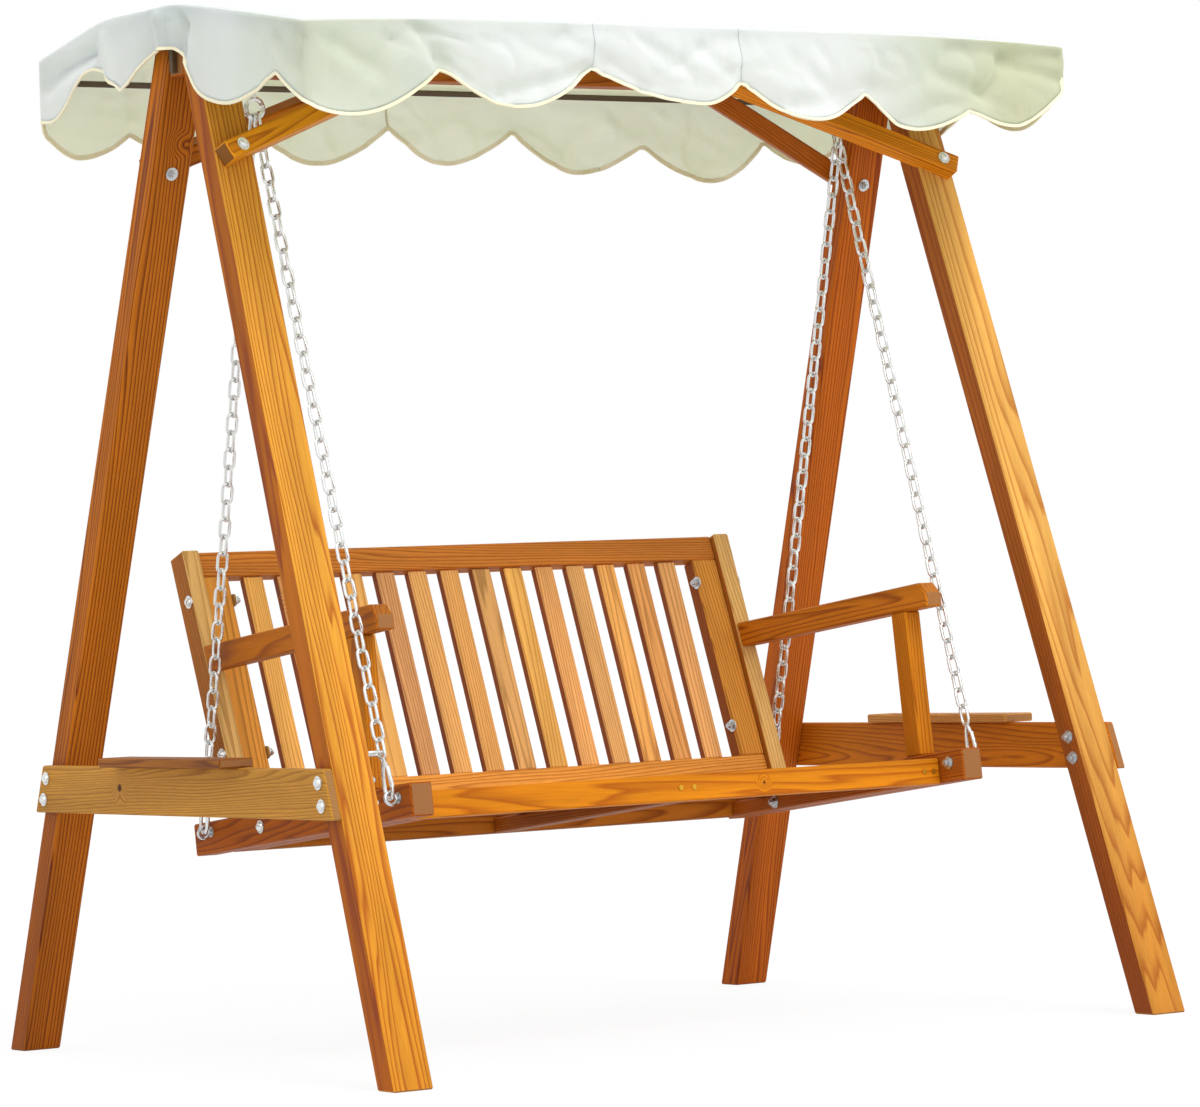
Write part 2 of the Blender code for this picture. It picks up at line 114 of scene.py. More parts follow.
sky_strength = 1.02
white_strength = 1.0
paper_glow = 0.88
floor_size = 30.0


def lamp(name, toward, strength, softness):
    made = bpy.data.objects.new(name, bpy.data.lights.new(name, "SUN"))
    made.data.energy = strength
    made.data.angle = radians(softness)
    made.rotation_euler = Vector(toward).to_track_quat("Z", "Y").to_euler()
    bpy.context.scene.collection.objects.link(made)


lamp("overhead_light", toward=(0.02, -0.66, 0.74), strength=1.13, softness=30)
lamp("camera_side_light", toward=(-0.05, -0.97, 0.20), strength=0.51, softness=60)
world = bpy.data.worlds.new("studio")
bpy.context.scene.world = world
world.use_nodes = True
sky = world.node_tree
sky.nodes.clear()
even = add(sky, "ShaderNodeBackground", {"Color": linear("f6f8fa"), "Strength": sky_strength})
white = add(sky, "ShaderNodeBackground", {"Color": linear("ffffff"), "Strength": white_strength})
mixed = add(sky, "ShaderNodeMixShader", {0: directly_seen(sky), 1: even.outputs[0], 2: white.outputs[0]})
add(sky, "ShaderNodeOutputWorld", {"Surface": mixed.outputs[0]})

paper, tree = new_material("white_paper")
bounce = add(tree, "ShaderNodeBsdfDiffuse", {"Color": linear("e4e4e2")})
lit = add(tree, "ShaderNodeBsdfDiffuse", {"Color": linear("ffffff")})
glow = add(tree, "ShaderNodeEmission", {"Color": linear("ffffff"), "Strength": white_strength})
shadowed = add(tree, "ShaderNodeMixShader", {0: paper_glow, 1: lit.outputs[0], 2: glow.outputs[0]})
shown = {0: directly_seen(tree), 1: bounce.outputs[0], 2: shadowed.outputs[0]}
surface(tree, add(tree, "ShaderNodeMixShader", shown))
floor_mesh = bpy.data.meshes.new("floor")
shape = bmesh.new()
bmesh.ops.create_grid(shape, x_segments=1, y_segments=1, size=floor_size)
shape.to_mesh(floor_mesh)
shape.free()
floor = bpy.data.objects.new("floor", floor_mesh)
floor.data.materials.append(paper)
bpy.context.scene.collection.objects.link(floor)


# Pine boards: planed softwood, stained orange-brown and oiled. Growth rings about 5 mm apart show
# as arches on the flat faces and as lines on the edges, and fibres and clouds vary the stain.
def combine(tree, operation, *values):
    """A vector operation: lengths and dot products give a number, the others a vector."""
    made = add(tree, "ShaderNodeVectorMath", dict(enumerate(values)), operation=operation)
    return made.outputs["Value" if operation in ("LENGTH", "DOT_PRODUCT") else "Vector"]


def spread(tree, value, low, high, new_low, new_high, **settings):
    """Moves a value from the range low to high into a new range, and clamps it there."""
    inputs = {0: value, 1: low, 2: high, 3: new_low, 4: new_high}
    return add(tree, "ShaderNodeMapRange", inputs, **settings).outputs[0]


def blend(tree, share, first, second, how="MIX"):
    inputs = {0: share, 6: first, 7: second}
    return add(tree, "ShaderNodeMix", inputs, data_type="RGBA", blend_type=how).outputs[2]


def mottle(tree, place, scale, detail, roughness=0.5):
    inputs = {"Vector": place, "Scale": scale, "Detail": detail, "Roughness": roughness}
    return add(tree, "ShaderNodeTexNoise", inputs).outputs[0]


def bump(tree, height, strength, distance):
    inputs = {"Height": height, "Strength": strength, "Distance": distance}
    return add(tree, "ShaderNodeBump", inputs).outputs[0]


def ramp(tree, value, stops):
    """Colours along a value, from stops that are each a position and a linear colour."""
    made = add(tree, "ShaderNodeValToRGB", {0: value})
    elements = made.color_ramp.elements
    elements.remove(elements[1])
    elements[0].position = stops[0][0]
    elements[0].color = stops[0][1]
    for position, colour in stops[1:]:
        elements.new(position).color = colour
    return made.outputs[0]


one_wave_per_metre = 0.314
ring_spacing = 0.0052
ring_shades = ((0.0, 0.0), (0.45, 0.18), (0.80, 1.0), (0.93, 0.05))
ring_wobble = {"Distortion": 2.2, "Detail": 3.0, "Detail Scale": 0.5}
pith_distance = 0.055
turn_per_seed = 2.399
sway_share = 0.3
sway_per_seed = 1.7
length_per_seed = 0.37
grain_stretch = 0.07
fibre_stretch = 0.02
wander_scale = 16.0
wander = 0.012
wander_noise = (0.2, 0.8)
fibre_scale = 700.0
cloud_scale = 22.0
usual_noise = (0.3, 0.7)
fibre_shades = (0.76, 0.99)
cloud_shades = (0.84, 1.14)
foot_heights = (0.15, 0.80)
facing_range = (0.72, 0.82)
most_sawn = 0.8
knot_pull = 16.0
knot_reach = 5
knot_core = (0.6, 1.5)
knot_tone = "4a1f0c"
smooth_step = {"interpolation_type": "SMOOTHSTEP"}
grain_relief = 0.0006
early_dulling = 0.06
late_shine = 0.08


def pine(node, along, early, late, seed, tilt=2.0, knots=(), rings=ring_spacing, rough=0.5,
         edge="ffffff", sawn="966a42", foot="ffffff"):
    """Gives a board its own wood: along is its grain, knots are places with radii, the edge colour is
    painted shade multiplied into the faces that look left and right, foot tints the board near the floor,
    and sawn is its end grain."""
    made, tree = new_material(f"pine_{node}")
    low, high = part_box(node)
    middle = (Vector(low) + Vector(high)) / 2
    grain = Vector(along).normalized()
    turn = grain.rotation_difference(Vector((0, 0, 1))).to_matrix()
    spin = Matrix.Rotation(seed * turn_per_seed, 3, "Z")
    lean = Matrix.Rotation(radians(tilt), 3, "X") @ Matrix.Rotation(radians(tilt * cos(seed)), 3, "Y")
    turn = lean @ spin @ turn
    sway = sway_share * pith_distance * sin(seed * sway_per_seed)
    shift = Vector((pith_distance, sway, length_per_seed * seed)) - turn @ middle
    spots = add(tree, "ShaderNodeTexCoord")
    place = spots.outputs["Object"]
    laid = {"Vector": place, "Location": shift, "Rotation": turn.to_euler()}
    laid = add(tree, "ShaderNodeMapping", laid).outputs[0]
    drawn = combine(tree, "MULTIPLY", laid, (1, 1, grain_stretch))
    bend = mottle(tree, drawn, wander_scale, detail=2.0)
    bend = spread(tree, bend, *wander_noise, -wander, wander)
    swirl = 0.0
    dark = 0.0
    for x, y, z, radius in knots:
        reach = combine(tree, "LENGTH", combine(tree, "SUBTRACT", place, (x, y, z)))
        pull = spread(tree, reach, radius, radius * knot_reach, knot_pull, 0.0, **smooth_step)
        inner, outer = (radius * share for share in knot_core)
        core = spread(tree, reach, inner, outer, 1.0, 0.0, **smooth_step)
        swirl = calculate(tree, "ADD", swirl, pull)
        dark = calculate(tree, "MAXIMUM", dark, core)
    ring = {
        "Vector": combine(tree, "ADD", drawn, bend),
        "Scale": one_wave_per_metre / rings,
        "Phase Offset": swirl,
        **ring_wobble,
    }
    ring = add(tree, "ShaderNodeTexWave", ring, wave_type="RINGS", rings_direction="Z", wave_profile="SAW")
    shades = [(position, (shade, shade, shade, 1)) for position, shade in ring_shades]
    grown = ramp(tree, ring.outputs["Fac"], shades)
    fine = combine(tree, "MULTIPLY", laid, (1, 1, fibre_stretch))
    fibre = mottle(tree, fine, fibre_scale, detail=3.0, roughness=0.7)
    cloud = mottle(tree, drawn, cloud_scale, detail=3.0)
    streak = spread(tree, fibre, *usual_noise, *fibre_shades)
    cloud = spread(tree, cloud, *usual_noise, *cloud_shades)
    shade = calculate(tree, "MULTIPLY", streak, cloud)
    body = blend(tree, grown, linear(early), linear(late))
    colour = add(tree, "ShaderNodeVectorMath", {0: body, 3: shade}, operation="SCALE").outputs[0]
    height = add(tree, "ShaderNodeSeparateXYZ", {0: place}).outputs["Z"]
    near_floor = spread(tree, height, *foot_heights, 1.0, 0.0)
    colour = blend(tree, near_floor, colour, linear(foot), how="MULTIPLY")
    # Painted shade: the edge colour is multiplied into the faces that look left and right; the sawn colour
    # is then mixed into the end grain.
    for direction, end_stain_and_side_shade, how, most in (((1, 0, 0), edge, "MULTIPLY", 1.0), (grain, sawn, "MIX", most_sawn)):
        facing = combine(tree, "DOT_PRODUCT", spots.outputs["Normal"], direction)
        share = spread(tree, calculate(tree, "ABSOLUTE", facing), *facing_range, 0.0, most)
        colour = blend(tree, share, colour, linear(end_stain_and_side_shade), how=how)
    if knots:
        colour = blend(tree, dark, colour, linear(knot_tone))
    relief = bump(tree, calculate(tree, "ADD", fibre, grown), strength=0.5, distance=grain_relief)
    gloss = spread(tree, grown, 0.0, 1.0, rough + early_dulling, rough - late_shine)
    wood = {"Base Color": colour, "Roughness": gloss, "Normal": relief, "Specular IOR Level": 0.12}
    surface(tree, add(tree, "ShaderNodeBsdfPrincipled", wood))
    dress(node, made)


def dress(node, material):
    nodes[node].data.materials.clear()
    nodes[node].data.materials.append(material)


# Legs: four 70 x 48 mm posts, each pair raked together and leaning in, sawn level at the foot.
# Bright flat-sawn faces with long arches and a few dark knots, more deeply stained at the feet.
leg_rake = radians(18.78)
lean_slope = tan(radians(1.49))
leg_ring_spacing = 0.0062
leg_tilt = 1.6
leg_knots = {
    "leg_rear_left": [(-0.700, 0.073, 1.500, 0.006)],
    "leg_front_left": [(-0.742, -0.345, 0.880, 0.004)],
    "leg_rear_right": [(0.705, 0.330, 0.800, 0.004)],
}
# The third colour of each leg is painted shade, multiplied into its faces that look left and right.
leg_tones = {
    "leg_front_left": ("eaa439", "b8641d", "cfa868", "f8eabc"),
    "leg_rear_left": ("ce7718", "783208", "faf181", "d9ceab"),
    "leg_front_right": ("eeb258", "c57e35", "c89870", "dcc49a"),
    "leg_rear_right": ("d36e15", "933d07", "fffaa0", "e9e3be"),
}
for i, (node, (early, late, edge, foot)) in enumerate(leg_tones.items()):
    side = -1 if "left" in node else 1
    end = -1 if "front" in node else 1
    grain = (-side * lean_slope, -end * tan(leg_rake), 1.0)
    knots = leg_knots.get(node, ())
    pine(node, grain, early, late, 1.3 + i, leg_tilt, knots, leg_ring_spacing, edge=edge, foot=foot)


# Ridge beam, side rails and trays: the same pine in wider boards.
# The left side rail is paler and more yellow, the left tray is brown and the right one tan.
pine("ridge_beam", (1, 0, 0), "bf6a18", "8c400c", 7.1)
rail_knots = {"side_rail_left": [(-0.786, 0.19, 0.452, 0.006)]}
board_tones = {
    "side_rail_left": ("cd9139", "a56a1c"),
    "side_rail_right": ("d87c14", "a85508"),
    "tray_left": ("a76623", "743a0d"),
    "tray_right": ("e2a052", "aa6f37"),
}
for i, (node, tone) in enumerate(board_tones.items()):
    pine(node, (0, 1, 0), *tone, 15.0 + i, knots=rail_knots.get(node, ()))


# Braces: four square battens that run from the front of each leg up to the side of the beam.
# Their sawn feet are dark, and the rear pair is the deeper brown.
brace_run = (0.45, 0.109, 0.170)
brace_tones = {
    "brace_front_left": ("f4a01b", "c06a12"),
    "brace_rear_left": ("cf7a14", "9a500c"),
    "brace_front_right": ("f6971a", "b7610e"),
    "brace_rear_right": ("ca6e10", "964508"),
}
for i, (node, tone) in enumerate(brace_tones.items()):
    side = -1 if "left" in node else 1
    end = -1 if "front" in node else 1
    grain = (-side * brace_run[0], -end * brace_run[1], brace_run[2])
    pine(node, grain, *tone, 31.0 + i, sawn="5e3a22")


# Bench: the seat frame and its slats are of the same orange-brown pine, tilted down to the rear.
# The front rail is bright, with one small knot.
seat_tilt = radians(6.33)
seat_grain = (0, cos(seat_tilt), -sin(seat_tilt))
post_grain = (0, sin(seat_tilt), cos(seat_tilt))
seat_tones = {
    "armrest_left": ("c47015", "984d09"),
    "armrest_right": ("dd841a", "a4550c"),
}
for i, side in enumerate(("left", "right")):
    for j, node in enumerate((f"seat_rail_{side}", f"bearer_{side}", f"armrest_{side}")):
        early, late = seat_tones.get(node, ("bb6110", "8b3d07"))
        pine(node, seat_grain, early, late, 41.0 + 3 * i + j)
    pine(f"arm_post_{side}", post_grain, "d88312", "a85709", 51.0 + i)
pine("bearer_middle", seat_grain, "ab5c16", "7c380c", 53.0)
pine("front_rail", (1, 0, 0), "de850c", "b65e04", 61.0, knots=[(0.16, -0.300, 0.415, 0.0035)])
for i, node in enumerate(("rear_rail", *(f"seat_slat_{n}" for n in range(1, 6)))):
    pine(node, (1, 0, 0), "b86a18", "8a440c", 62.0 + i)


# Back: pale stiles, orange-brown posts and rails, and fourteen tan slats that differ in tone.
# It leans back, and painted shade makes the edges of its slats, stiles and posts darker than their faces.
back_lean = radians(19.94)
back_grain = (0, sin(back_lean), cos(back_lean))
slat_ring_spacing = 0.0045
slat_tones = (
    ("ffbf63", "d29144"), ("fcb670", "c9894a"), ("fabc75", "c98e52"), ("ffc16a", "d5934d"),
    ("f0af70", "bd7e4d"), ("ffbf70", "d08e4d"), ("fcba6a", "c98644"), ("f3b66e", "bf8b4d"),
    ("ffc164", "d79341"), ("ffba70", "cb894d"), ("ffc175", "ce8e52"), ("ffba64", "cb8947"),
    ("f7af64", "c28244"), ("f8b670", "c5884c"),
)
slat_knots = {
    2: [(-0.372, 0.330, 0.745, 0.004)],
    12: [(0.296, 0.232, 0.560, 0.005)],
    5: [(-0.170, 0.300, 0.700, 0.003)],
}
for i, (early, late) in enumerate(slat_tones):
    pine(f"back_slat_{i + 1:02d}", back_grain, early, late, 71.0 + i, tilt=1.2,
         knots=slat_knots.get(i + 1, ()), rings=slat_ring_spacing, rough=0.55, edge="a87a5c")
for i, side in enumerate(("left", "right")):
    for j, (piece, early, late) in enumerate((("stile", "edbc71", "c5924c"), ("post", "e4993d", "af6e23"))):
        pine(f"back_{piece}_{side}", back_grain, early, late, 91.0 + 2 * i + j, rough=0.55, edge="c89c68")
pine("back_top_rail", (1, 0, 0), "dd8935", "ac5d1d", 97.0)
pine("back_bottom_rail", (1, 0, 0), "f3a244", "c37326", 98.0)


# Zinc plating: a bright thin coat over steel wire and forgings, cool grey with faint mottling.
# The hooks, the links and the bolt heads are brighter than the nuts and the eye bolts.
plate_shine = 0.08
plate_dulling = 0.12


def zinc_plate(name, tone, rough):
    made, tree = new_material(name)
    place = add(tree, "ShaderNodeTexCoord").outputs["Object"]
    spots = mottle(tree, place, scale=240.0, detail=3.0)
    metal = {
        "Base Color": blend(tree, spots, linear(tone), linear("f2f4f5")),
        "Roughness": spread(tree, spots, *usual_noise, rough - plate_shine, rough + plate_dulling),
        "Metallic": 1.0,
        "Normal": bump(tree, spots, strength=0.15, distance=0.0004),
    }
    surface(tree, add(tree, "ShaderNodeBsdfPrincipled", metal))
    return made


bright_zinc = zinc_plate("bright_zinc_plate", "cdd1cd", 0.28)
dull_zinc = zinc_plate("dull_zinc_plate", "9fa6aa", 0.36)
for side in ("left", "right"):
    dress(f"ridge_hook_{side}", bright_zinc)


# Chains: welded links of 5 mm wire, about 40 mm long, each turned a quarter from the last.
# A snap hook of 6.5 mm wire joins each chain to an eye bolt in the side rail of the bench, and one
# spare link hangs beside the front left snap hook.
def bend_wire(shape, points, thickness, closed=True, sides=10):
    """Adds a round wire along points to a bmesh, closed into a ring or with flat ends."""
    count = len(points)
    rings = []
    normal = None
    for i, point in enumerate(points):
        ahead = points[(i + 1) % count] if closed or i < count - 1 else point
        behind = points[i - 1] if closed or i > 0 else point
        along = (ahead - behind).normalized()
        if normal is None:
            normal = along.orthogonal().normalized()
        normal = (normal - along * normal.dot(along)).normalized()
        side_way = along.cross(normal)
        ring = []
        for j in range(sides):
            turn = 2 * pi * j / sides
            ring.append(shape.verts.new(point + (normal * cos(turn) + side_way * sin(turn)) * thickness / 2))
        rings.append(ring)
    if closed:
        start = rings[0][0].co
        step = min(range(sides), key=lambda k: (rings[-1][k].co - start).length)
    for i in range(count if closed else count - 1):
        first = rings[i]
        second = rings[(i + 1) % count]
        offset = -step if closed and i == count - 1 else 0
        for j in range(sides):
            a, b = first[j], first[(j + 1) % sides]
            c, d = second[(j + 1 + offset) % sides], second[(j + offset) % sides]
            shape.faces.new((a, b, c, d))
    if not closed:
        shape.faces.new(list(reversed(rings[0])))
        shape.faces.new(rings[-1])


def piece_from(shape, name, material, body, smooth=35):
    """Makes a piece of a bmesh: faces that meet at more than smooth degrees keep a sharp edge."""
    bmesh.ops.recalc_face_normals(shape, faces=shape.faces)
    mesh = bpy.data.meshes.new(name)
    shape.to_mesh(mesh)
    shape.free()
    mesh.shade_smooth()
    mesh.set_sharp_from_angle(angle=radians(smooth))
    mesh.materials.append(material)
    made = bpy.data.objects.new(name, mesh)
    bpy.context.scene.collection.objects.link(made)
    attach(made, body)
    return made


link_wire = 0.0053
link_length = 0.0395
link_width = 0.0230
link_end_steps = 7
link_play = 0.0006
spare_link_rise = 0.012
spare_link_reach = 0.016
hook_place = 0.592
chain_spread = 0.003
axis_height = 1.535
hook_wire = 0.008
seat_front = -0.3695
seat_low = 0.4009
rail_face = 0.570
eye_places = {"front": (0.038, 0.033), "rear": (0.642, 0.036)}
eye_stand_off = 0.0145
eye_ring_radius = 0.010
eye_ring_steps = 18
eye_wire = 0.006
eye_washer_width = 0.018
eye_washer_thickness = 0.0016
snap_length = 0.076
snap_half_width = 0.0135
snap_wire = 0.0065
snap_inset = 0.2 * snap_wire
snap_steps = 22
snap_width_share = 0.78
snap_taper_share = 0.30
snap_roundness = 1.15
gate_wire = 1.12 * snap_wire
gate_ends = ((0.016, 0.80), (0.050, 0.62))
across = Vector((1, 0, 0))


def seat_point(x, along, height):
    """The place of a point that is given along and above the bottom of the tilted side rail."""
    y = seat_front + along * cos(seat_tilt) + height * sin(seat_tilt)
    z = seat_low - along * sin(seat_tilt) + height * cos(seat_tilt)
    return Vector((x, y, z))


def add_link(shape, middle, along, wide):
    """Adds a link whose length runs along and whose width runs wide."""
    long_reach = (link_length - link_wire) / 2
    wide_reach = (link_width - link_wire) / 2
    points = []
    for end in (1, -1):
        centre = middle + along * end * (long_reach - wide_reach)
        for i in range(link_end_steps + 1):
            turn = pi * i / link_end_steps
            points.append(centre + end * wide_reach * (wide * cos(turn) + along * sin(turn)))
    bend_wire(shape, points, link_wire)


for side, word in ((-1, "left"), (1, "right")):
    for end, place in ((-1, "front"), (1, "rear")):
        eye = seat_point(side * (rail_face + eye_stand_off), *eye_places[place])
        top = Vector((side * (hook_place + end * chain_spread), 0, axis_height))
        line = (top - eye).normalized()
        flat = across.cross(line)
        span_top = top + line * (hook_wire / 2 + link_wire + link_play)
        snap_low = eye - line * (eye_ring_radius - eye_wire / 2 - snap_wire)
        snap_top = snap_low + line * (snap_length - 2 * snap_wire)
        span = (span_top - snap_top).length
        inner = link_length - 2 * link_wire
        count = 2 * round((span - link_wire) / inner / 2) - 1
        pitch = (span - 2 * link_wire - inner) / (count - 1)
        shape = bmesh.new()
        for i in range(count):
            middle = span_top - line * (link_length / 2 + pitch * i)
            add_link(shape, middle, line, flat if i % 2 == 0 else across)
        if (side, end) == (-1, -1):
            spare = snap_top + line * spare_link_rise - across * spare_link_reach
            add_link(shape, spare, across, flat)
        chain = piece_from(shape, f"chain_links_{place}_{word}", bright_zinc, "seat")
        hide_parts(f"chain_{place}_{word}")
        shape = bmesh.new()
        pear = []
        for i in range(snap_steps):
            turn = 2 * pi * i / snap_steps
            rise = (snap_length / 2 - snap_wire) * (1 + cos(turn))
            swell = snap_half_width * (snap_width_share - snap_taper_share * cos(turn)) - snap_inset
            pear.append(snap_low + line * rise + flat * swell * sin(turn) * snap_roundness)
        bend_wire(shape, pear, snap_wire)
        gate = [snap_low + line * rise + flat * snap_half_width * share for rise, share in gate_ends]
        gate.insert(1, gate[0].lerp(gate[1], 0.5))
        bend_wire(shape, gate, gate_wire, closed=False)
        piece_from(shape, f"snap_hook_{place}_{word}", bright_zinc, "seat")
        shape = bmesh.new()
        turns = [2 * pi * i / eye_ring_steps for i in range(eye_ring_steps)]
        ring = [eye + (across * cos(turn) + line * sin(turn)) * eye_ring_radius for turn in turns]
        bend_wire(shape, ring, eye_wire)
        start = Vector((side * rail_face, eye.y, eye.z))
        bend_wire(shape, [start, eye - across * side * eye_ring_radius], eye_wire, closed=False)
        washer = [start, start + across * side * eye_washer_thickness]
        bend_wire(shape, washer, eye_washer_width, closed=False, sides=24)
        piece_from(shape, f"eye_bolt_{place}_{word}", dull_zinc, "seat", smooth=30)


# Bolts and nuts: M8 zinc-plated bolts with 22 mm washers, domed heads outside and nuts inside.
# They hold the side rails and braces to the legs, the stiles to the posts, and the seat's rails.
washer_width = 0.022
washer_thickness = 0.0020
washer_gap = 0.0001
washer_ring_share = 0.7
head_width = 0.0155
head_height = 0.0065
head_steps = 5
head_sides = 20
nut_width = 0.0145
nut_height = 0.0065
stub_width = 0.008
stub_past_nut = 0.004
leg_outer = 0.780
leg_thickness = 0.070
leg_inner = leg_outer - leg_thickness
leg_outer_at_floor = 0.6244
leg_depth = 0.0507
rail_gap = 0.0003
rail_thickness = 0.017
rail_outer = leg_outer + rail_gap + rail_thickness
rail_bolts = ((0.4445, 0.4655), (0.4535, 0.4300))
brace_feet = {"front": (0.735, 0.1448, 1.460), "rear": (0.720, 0.1448, 1.460)}
brace_head = (0.285, 0.0355, 1.630)
brace_bolt_along = 0.030
brace_half_thickness = 0.017
brace_nut_across = 0.706
brace_nut_height = 1.450
stile_bolts = ((0.3238, 0.7520), (0.2314, 0.4950))
stile_outer = 0.5658
post_inner = 0.4810
seat_rail_bolt = (rail_face, 0.476, 0.029)
seat_rail_nut = (0.4842, 0.488, 0.013)
eye_nut = (0.5295, *eye_places["front"])


def bolt(name, place, normal, body, nut=False):
    """A washer with a domed head or, inside, a hexagonal nut and the bolt's end."""
    normal = Vector(normal).normalized()
    shape = bmesh.new()
    start = Vector(place) + normal * washer_gap
    seat = start + normal * washer_thickness
    washer = [start, start.lerp(seat, washer_ring_share), seat]
    bend_wire(shape, washer, washer_width, closed=False, sides=28)
    if nut:
        bend_wire(shape, [seat, seat + normal * nut_height], nut_width, closed=False, sides=6)
        stub = [seat, seat + normal * (nut_height + stub_past_nut)]
        bend_wire(shape, stub, stub_width, closed=False, sides=16)
    else:
        first = normal.orthogonal().normalized()
        second = normal.cross(first)
        previous = None
        for i in range(head_steps):
            climb = i / head_steps * pi / 2
            centre = seat + normal * head_height * sin(climb)
            reach = head_width / 2 * cos(climb)
            ring = []
            for j in range(head_sides):
                spin = 2 * pi * j / head_sides
                ring.append(shape.verts.new(centre + (first * cos(spin) + second * sin(spin)) * reach))
            if previous:
                for j in range(head_sides):
                    following = (j + 1) % head_sides
                    shape.faces.new((previous[j], previous[following], ring[following], ring[j]))
            else:
                shape.faces.new(list(reversed(ring)))
            previous = ring
        shape.faces.new(previous)
    piece_from(shape, name, dull_zinc if nut else bright_zinc, body, smooth=30)


def frame_point(x, y, z, side):
    """A point on an end frame, moved in by the frame's lean."""
    return (side * (x - lean_slope * z), y, z)


for side, word in ((-1, "left"), (1, "right")):
    for end, place in ((-1, "front"), (1, "rear")):
        for i, (y, z) in enumerate(rail_bolts):
            spot = frame_point(rail_outer, end * y, z, side)
            bolt(f"rail_bolt_{place}_{word}_{i}", spot, (side, 0, lean_slope), "stand")
            spot = frame_point(leg_inner, end * y, z, side)
            bolt(f"rail_nut_{place}_{word}_{i}", spot, (-side, 0, -lean_slope), "stand", nut=True)
        leg_normal = Vector((0, end * cos(leg_rake), sin(leg_rake)))
        mirror = Vector((side, end, 1))
        foot = Vector(brace_feet[place]) * mirror
        run = (Vector(brace_head) * mirror - foot).normalized()
        out = (leg_normal - run * leg_normal.dot(run)).normalized()
        spot = foot + run * brace_bolt_along + out * brace_half_thickness
        bolt(f"brace_bolt_{place}_{word}", spot, out, "stand")
        leg_y = leg_outer_at_floor - tan(leg_rake) * brace_nut_height - leg_depth
        spot = (side * brace_nut_across, end * leg_y, brace_nut_height)
        bolt(f"brace_nut_{place}_{word}", spot, -leg_normal, "stand", nut=True)
    for i, (y, z) in enumerate(stile_bolts):
        bolt(f"stile_bolt_{word}_{i}", (side * stile_outer, y, z), (side, 0, 0), "seat")
        bolt(f"stile_nut_{word}_{i}", (side * post_inner, y, z), (-side, 0, 0), "seat", nut=True)
    x, along, height = seat_rail_bolt
    bolt(f"seat_rail_bolt_{word}", seat_point(side * x, along, height), (side, 0, 0), "seat")
    for name, (x, along, height) in (("seat_rail_nut", seat_rail_nut), ("eye_nut", eye_nut)):
        bolt(f"{name}_{word}", seat_point(side * x, along, height), (-side, 0, 0), "seat", nut=True)


# Brass screws: countersunk 8.5 mm heads with a cross recess, in pairs through the front rail.
# Each pair holds the rail to the end of one of the three bearers.
screw_places = (-0.5149, -0.4953, -0.0095, 0.0170, 0.4953, 0.5149)
screw_along = 0.065
screw_height = 0.022
screw_width = 0.0085
screw_layers = (0.0, 0.0009, 0.0016)
recess_layer = 0.0017
recess_reach = 0.0022
recess_width = 0.0011
brass_roughness = (0.25, 0.45)
brass, tree = new_material("yellow_passivated_brass")
spots = mottle(tree, add(tree, "ShaderNodeTexCoord").outputs["Object"], scale=300.0, detail=2.0)
metal = {
    "Base Color": linear("d9a83a"),
    "Roughness": spread(tree, spots, *usual_noise, *brass_roughness),
    "Metallic": 1.0,
}
surface(tree, add(tree, "ShaderNodeBsdfPrincipled", metal))
outward = Vector((0, -cos(seat_tilt), sin(seat_tilt)))
for i, x in enumerate(screw_places):
    spot = seat_point(x, screw_along, screw_height)
    shape = bmesh.new()
    layers = [spot + outward * layer for layer in screw_layers]
    bend_wire(shape, layers, screw_width, closed=False, sides=20)
    centre = spot + outward * recess_layer
    for arm in (across, Vector(post_grain)):
        recess = [centre - arm * recess_reach, centre + arm * recess_reach]
        bend_wire(shape, recess, recess_width, closed=False, sides=4)
    piece_from(shape, f"front_rail_screw_{i}", brass, "seat", smooth=30)


# Canopy tube: brown powder-coated steel, bent round under the cloth.
# It has a bar at the front and rear, an arch at each end and a stub on each end of the beam.
brown_steel, tree = new_material("brown_powder_coat")
peel = mottle(tree, add(tree, "ShaderNodeTexCoord").outputs["Object"], scale=500.0, detail=2.0)
coat = {
    "Base Color": blend(tree, peel, linear("3f2f1e"), linear("6a5536")),
    "Roughness": 0.42,
    "Normal": bump(tree, peel, strength=0.2, distance=0.0003),
}
surface(tree, add(tree, "ShaderNodeBsdfPrincipled", coat))
dress("canopy_frame", brown_steel)


# Canopy cloth: a white woven cover with painted shade in beige on its inside, slack over its tube, with a
# scalloped valance. The valance is white, with painted shade of greener beige at the front left corner and
# tan beige at the front right one: these shades are multiplied into its upright parts along x minus y, from
# the rear left corner to the front right.
half_length = 0.758
half_depth = 0.440
ridge = 1.712
eave = 1.638
ridge_rounding = 0.060
corner_radius = 0.018
cloth_thickness = 0.0016
over_tube = 0.0012
thread_pitch = 0.0016
thread_relief = 0.06
soil_noise = (0.35, 0.65)
upright_range = (0.93, 0.80)
# Painted shade for the valance: colours multiplied in from the rear left corner to the front right.
valance_painted_shade = (
    (0.0, "ffffff"), (0.27, "f2faf6"), (0.36, "d6dac4"), (0.43, "d3d8c4"), (0.52, "fbffff"),
    (0.79, "fcffff"), (0.87, "d8ddc8"), (0.95, "c4c29a"), (1.0, "c9c8a4"),
)


